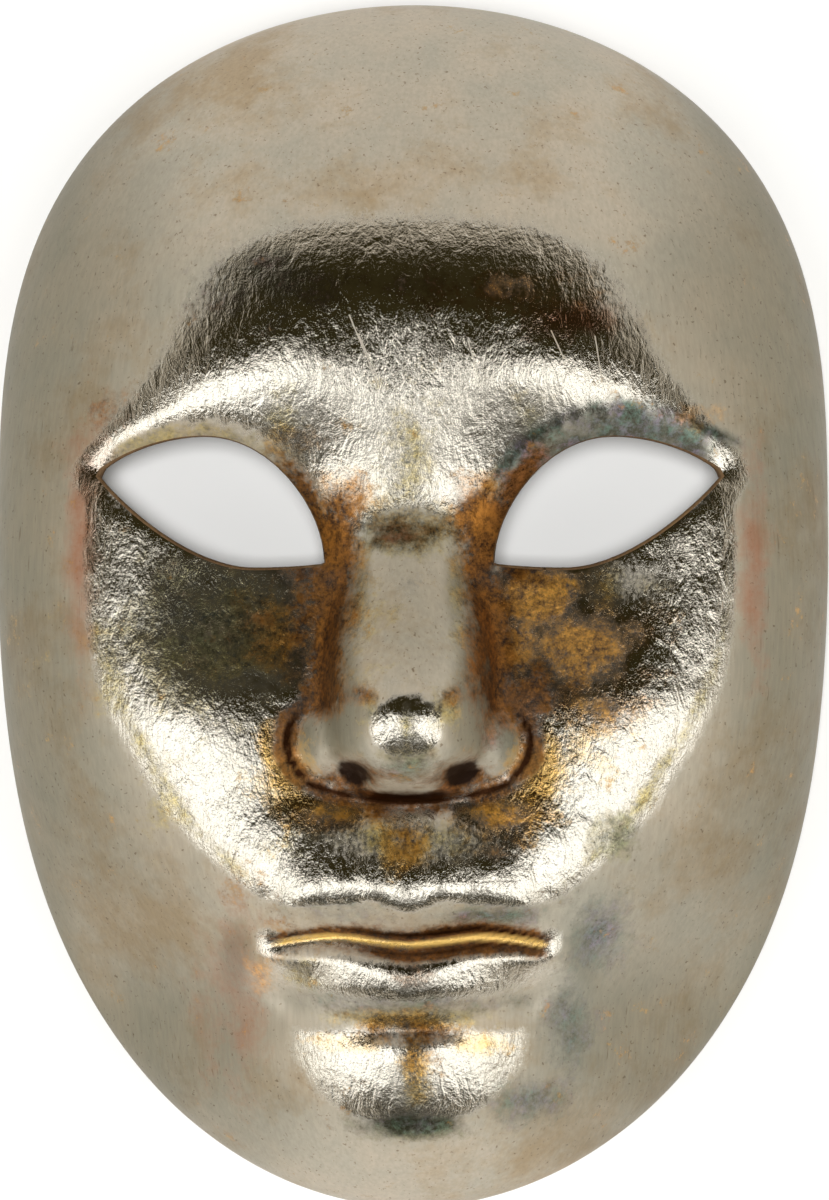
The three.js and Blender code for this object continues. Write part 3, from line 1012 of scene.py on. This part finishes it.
def stretched(tree, place, turn, stretch):
    """Place scaled along one direction in the rim plane, so that noise there runs in streaks."""
    node = add_node(tree, "ShaderNodeMapping")
    node.inputs["Rotation"].default_value = (0, 0, math.radians(turn))
    node.inputs["Scale"].default_value = (1, 1 / stretch, 1)
    tree.links.new(place, node.inputs["Vector"])
    return node.outputs["Vector"]


def patchy(tree, name, ragged, amount, low, high):
    """A field with a ragged border, from nothing at low to full at high."""
    value = maths(tree, "ADD", field(tree, name), maths(tree, "MULTIPLY", ragged, amount), True)
    return ramp(tree, value, [(low, 0.0), (high, 1.0)])


def shaded(tree, share, color, tint):
    """Colour multiplied by a tint where the share is 1."""
    return mix(tree, share, color, tint, "MULTIPLY")


def bump(tree, height, distance, strength, under=None):
    """Normal of a surface raised by a height of noise, on top of the bump under it."""
    node = add_node(tree, "ShaderNodeBump")
    node.inputs["Distance"].default_value = distance
    tree.links.new(height, node.inputs["Height"])
    if isinstance(strength, bpy.types.NodeSocket):
        tree.links.new(strength, node.inputs["Strength"])
    else:
        node.inputs["Strength"].default_value = strength
    if under is not None:
        tree.links.new(under, node.inputs["Normal"])
    return node.outputs["Normal"]


def wrinkles(tree, place, grain):
    """Height of the leaf's fine wrinkles, level on the forehead and slanting below it."""
    parts = add_node(tree, "ShaderNodeSeparateXYZ")
    tree.links.new(place, parts.inputs[0])
    above = maths(tree, "SUBTRACT", parts.outputs["Y"], LEVEL_FROM)
    forehead = maths(tree, "MULTIPLY", above, 1 / LEVEL_WITHIN, True)
    rising = noise(tree, stretched(tree, place, 50, 2.4), 1300, 3, 0.65, 0.8)
    falling = noise(tree, stretched(tree, place, -40, 2.4), 1000, 3, 0.65, 1.2)
    level = noise(tree, stretched(tree, place, 84, 3), 1300, 3, 0.65)
    slanting = mix(tree, 0.5, rising, falling)
    return mix(tree, 0.4, mix(tree, forehead, slanting, level), grain)


def painted_reflection_colour(tree, place, clouds):
    """Painted reflection's colour: warm clouds, ochre blotches, brush marks and deep brown specks.
    """
    blotches = ramp(tree, noise(tree, place, 26, 6, 0.72), [(0.50, 0.0), (0.66, 0.75)])
    color = mix(tree, blotches, ramp(tree, clouds, PAINTED_REFLECTION), PAINTED_REFLECTION_BLOTCH)
    across = noise(tree, stretched(tree, place, 90, 9), 1300, 2, 0.6)
    along = noise(tree, stretched(tree, place, 0, 9), 1100, 2, 0.6)
    marks = ramp(tree, mix(tree, 0.5, across, along), [(0.36, 0.90), (0.62, 1.04)])
    color = shaded(tree, 1.0, color, marks)
    specks = ramp(tree, noise(tree, place, 1100, 2, 0.55), [(0.27, 0.7), (0.34, 0.0)])
    color = mix(tree, specks, color, PAINTED_REFLECTION_SPECK)
    streaks = noise(tree, stretched(tree, place, 10, 14), 1400, 2, 0.6)
    hairs = ramp(tree, streaks, [(0.26, 0.6), (0.33, 0.0)])
    return mix(tree, hairs, color, PAINTED_REFLECTION_HAIR)


def scratches(tree, place):
    """1 on a few straight hairline scratches, each given by its two ends."""
    marks = 0.0
    for start, end in SCRATCHES:
        middle = ((Vector(start) + Vector(end)) / 2000).to_3d()
        turn = math.atan2(end[1] - start[1], end[0] - start[0])
        node = add_node(tree, "ShaderNodeMapping", vector_type="TEXTURE")
        node.inputs["Location"].default_value = middle
        node.inputs["Rotation"].default_value = (0, 0, turn)
        half_length = math.dist(start, end) / 2000
        node.inputs["Scale"].default_value = (half_length, SCRATCH_WIDTH / 2000, 1)
        tree.links.new(place, node.inputs["Vector"])
        parts = add_node(tree, "ShaderNodeSeparateXYZ")
        tree.links.new(node.outputs["Vector"], parts.inputs[0])
        along = maths(tree, "ABSOLUTE", parts.outputs["X"])
        across = maths(tree, "ABSOLUTE", parts.outputs["Y"])
        here = maths(tree, "LESS_THAN", maths(tree, "MAXIMUM", along, across), 1.0)
        marks = maths(tree, "MAXIMUM", marks, here)
    return marks


def covered(tree, color, share, amount, coat):
    """Colour under a coat that hides it by the amount where the share is 1."""
    return mix(tree, maths(tree, "MULTIPLY", share, amount), color, coat)


def patina_shares(tree, border, relief):
    """Share of each patina and painted light on the leaf; the painted reflection stops along
    wrinkles.
    """
    shares = {}
    for name, (ragged, low, high) in PATINA_BORDERS.items():
        shares[name] = patchy(tree, name, border, ragged, low, high)
    shares["painted_reflection"] = patchy(tree, "painted_reflection", maths(tree, "SUBTRACT", relief, 0.5), *PAINTED_REFLECTION_BORDER)
    return shares


def verdigris(tree, place, flecks):
    tints = ramp(tree, noise(tree, place, 200, 4, 0.6), VERDIGRIS)
    return mix(tree, ramp(tree, flecks, [(0.46, 0.0), (0.58, 1.0)]), VERDIGRIS_DARK, tints)


def leaf_color(tree, place, clouds, flecks, share, scratched):
    """Colour of the leaf under coats of patina and of painted reflection, shade and highlight."""
    color = mix(tree, clouds, LEAF_PALE, LEAF_DEEP)
    color = mix(tree, share["painted_reflection"], color, painted_reflection_colour(tree, place, clouds))
    # Painted shade on the nose's bridge and on sideways-facing surfaces
    color = shaded(tree, field(tree, "edge"), color, SIDE_SHADE_TINT)
    color = covered(tree, color, share["tarnish_and_shade"], 0.9, ramp(tree, flecks, TARNISH_AND_SHADE_TONES))
    color = covered(tree, color, field(tree, "green"), 0.4, GREEN_HAZE)
    color = covered(tree, color, share["green"], 0.85, verdigris(tree, place, flecks))
    color = covered(tree, color, share["red"], 0.35, COPPER)
    color = shaded(tree, share["red"], color, COPPER_TINT)
    color = covered(tree, color, share["gold"], 0.85, GILDING)
    color = covered(tree, color, share["ochre"], 0.9, ramp(tree, flecks, EARTH))
    color = covered(tree, color, share["rust_and_shade"], 0.92, ramp(tree, flecks, RUST_AND_SHADE))
    color = covered(tree, color, scratched, 0.6, SCRATCH)
    # Near-black painted shade in the creases
    color = mix(tree, share["crease_shade"], color, CREASE_SHADE)
    # Painted highlight along the mouth line, laid over all else
    color = mix(tree, share["mouth_highlight"], color, MOUTH_HIGHLIGHT)
    return mix(tree, share["pit"], color, NOSTRIL_SHADE)


def leaf_metal(tree, share, crust, scratched):
    """How metallic the surface is: most on clean leaf, least on the painted reflection."""
    painted_reflection_metal = mix(tree, share["painted_reflection"], 1.0, 0.3)
    metal = covered(tree, painted_reflection_metal, share["tarnish_and_shade"], 0.6, 0.85)
    metal = mix(tree, crust, metal, 0.8)
    metal = mix(tree, scratched, metal, 0.2)
    metal = mix(tree, share["crease_shade"], metal, 0.9)
    return mix(tree, share["mouth_highlight"], metal, 0.6)


def leaf_roughness(tree, share, crust, clouds):
    rough = mix(tree, share["painted_reflection"], mix(tree, clouds, 0.08, 0.14), 0.5)
    rough = covered(tree, rough, share["tarnish_and_shade"], 0.8, 0.2)
    rough = mix(tree, crust, rough, 0.4)
    rough = mix(tree, maths(tree, "MAXIMUM", share["crease_shade"], share["green"]), rough, 0.35)
    return mix(tree, share["pit"], rough, 0.6)


def leaf_relief(tree, place, relief, painted_reflection):
    """Dents, folds and wrinkles over each other; the painted reflection fills the finer two."""
    leaf_only = mix(tree, painted_reflection, 1.0, 0.2)
    dents = bump(tree, noise(tree, place, 90, 2, 0.55), 0.0006, 0.8)
    folded = noise(tree, stretched(tree, place, 40, 2.2), 330, 3, 0.6, 0.8)
    folds = bump(tree, folded, 0.00035, leaf_only, dents)
    return bump(tree, relief, 0.00024, leaf_only, folds)


def silver_leaf():
    """Aged crinkled silver leaf, patina, and painted reflection on the sides, shade and highlights.
    """
    material, tree, shader = new_material("silver_leaf")
    place = add_node(tree, "ShaderNodeTexCoord").outputs["Object"]
    clouds = noise(tree, place, 55, 3, 0.6)
    grain = noise(tree, place, 1300, 3, 0.7)
    relief = wrinkles(tree, place, grain)
    broad = noise(tree, place, 110, 6, 0.78)
    flecks = mix(tree, 0.4, noise(tree, place, 420, 4, 0.8), grain)
    flecks = mix(tree, 0.3, flecks, broad)
    share = patina_shares(tree, maths(tree, "SUBTRACT", broad, 0.5), relief)
    crusted = maths(tree, "MAXIMUM", share["rust_and_shade"], share["ochre"])
    crust = ramp(tree, crusted, [(0.4, 0.0), (1.0, 1.0)])
    scratched = scratches(tree, place)
    color = leaf_color(tree, place, clouds, flecks, share, scratched)
    metal = leaf_metal(tree, share, crust, scratched)
    rough = leaf_roughness(tree, share, crust, clouds)
    normal = leaf_relief(tree, place, relief, share["painted_reflection"])
    tree.links.new(color, shader.inputs["Base Color"])
    tree.links.new(metal, shader.inputs["Metallic"])
    tree.links.new(rough, shader.inputs["Roughness"])
    tree.links.new(normal, shader.inputs["Normal"])
    return material


def floor_paint():
    material, tree, shader = new_material("floor_paint")
    shader.inputs["Base Color"].default_value = (*FLOOR_PAINT, 1)
    shader.inputs["Roughness"].default_value = 0.9
    return material


def layered_paper(name, tones, rough):
    """Uncoated papier-mache: fibres, blotches and a lumpy surface."""
    material, tree, shader = new_material(name)
    place = add_node(tree, "ShaderNodeTexCoord").outputs["Object"]
    fibres = noise(tree, stretched(tree, place, 35, 5), 900, 4, 0.7, 1.5)
    lumps = noise(tree, place, 60, 4, 0.6)
    tone = ramp(tree, mix(tree, 0.55, lumps, fibres), tones)
    raised = bump(tree, fibres, 0.0002, 0.5, bump(tree, lumps, 0.001, 0.6))
    tree.links.new(tone, shader.inputs["Base Color"])
    tree.links.new(raised, shader.inputs["Normal"])
    shader.inputs["Roughness"].default_value = rough
    return material


def make_mask():
    """The one piece: leaf outside, lining inside, bare paper on the cut edges between them."""
    vertices, faces, kinds = build_shell()
    mesh = make_mesh("mask_silver_leaf", vertices, faces.tolist())
    add_fields(mesh, vertices, normals_of(vertices, faces), faces)
    mesh.materials.append(silver_leaf())
    mesh.materials.append(layered_paper("cut_edge", CUT_PAPER, 0.7))
    mesh.materials.append(layered_paper("paper_lining", LINING, 0.85))
    mesh.polygons.foreach_set("material_index", kinds.astype(np.int32))
    mask = bpy.data.objects.new("mask_silver_leaf", mesh)
    bpy.context.scene.collection.objects.link(mask)
    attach(mask, "root")
    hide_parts("mask_shell")


def make_floor():
    mesh = bpy.data.meshes.new("floor")
    half = FLOOR_HALF
    corners = [(-half, -half, 0), (half, -half, 0), (half, half, 0), (-half, half, 0)]
    mesh.from_pydata(corners, [], [(0, 1, 2, 3)])
    mesh.materials.append(floor_paint())
    floor = bpy.data.objects.new("floor", mesh)
    bpy.context.scene.collection.objects.link(floor)


def panel(name, azimuth, elevation, distance, width, length, radiance, glossy=True):
    """Soft lamp seen from the mask at an azimuth from +Z towards +X and an elevation to +Y."""
    lamp = bpy.data.lights.new(name, "AREA")
    lamp.shape = "RECTANGLE"
    lamp.size = width
    lamp.size_y = length
    lamp.energy = radiance * math.pi * width * length
    thing = bpy.data.objects.new(name, lamp)
    a = math.radians(azimuth)
    e = math.radians(elevation)
    across = math.sin(a) * math.cos(e)
    up = math.cos(a) * math.cos(e)
    thing.location = (distance * across, distance * math.sin(e), distance * up)
    way = Vector(LAMP_TARGET) - thing.location
    thing.rotation_euler = way.to_track_quat("-Z", "Y").to_euler()
    thing.visible_glossy = glossy
    bpy.context.scene.collection.objects.link(thing)


def make_lamps():
    """Two soft boxes, a dimmer reflector below the chin, and a small lamp far overhead."""
    box = {"elevation": -14, "distance": 1.4, "width": 0.66, "length": 1.5, "radiance": 1.8}
    panel("soft_box_left", azimuth=-37.5, **box)
    panel("soft_box_right", azimuth=37.5, **box)
    panel("reflector", 0, -26, distance=1.4, width=1.2, length=0.85, radiance=0.42)
    panel("ceiling_lamp", 0.5, 0, distance=3.0, width=0.3, length=0.3, radiance=260.0, glossy=False)


def make_surroundings():
    """World: a dim room, paler low down where its walls are."""
    world = bpy.data.worlds.new("studio")
    world.use_nodes = True
    tree = world.node_tree
    way = add_node(tree, "ShaderNodeTexCoord").outputs["Generated"]
    parts = add_node(tree, "ShaderNodeSeparateXYZ")
    tree.links.new(way, parts.inputs[0])
    shade = ramp(tree, parts.outputs["Z"], [(0.32, ROOM_WALLS), (0.46, ROOM_CEILING)])
    tree.links.new(shade, tree.nodes["Background"].inputs["Color"])
    bpy.context.scene.world = world


def make_camera():
    """Long lens high over the mask, a little to one side and turned towards its middle."""
    camera = bpy.data.objects.new("camera", bpy.data.cameras.new("camera"))
    bpy.context.scene.collection.objects.link(camera)
    camera.data.sensor_fit = "VERTICAL"
    camera.data.sensor_height = SENSOR_HEIGHT
    camera.data.lens = SENSOR_HEIGHT * CAMERA_DISTANCE / FRAMED_HEIGHT
    camera.location = (CAMERA_SIDE, 0, CAMERA_DISTANCE)
    camera.rotation_euler = (0, math.atan2(CAMERA_SIDE, CAMERA_DISTANCE), 0)
    bpy.context.scene.camera = camera


make_mask()
make_floor()
make_surroundings()
make_lamps()
make_camera()
bpy.context.scene.view_settings.view_transform = "Standard"
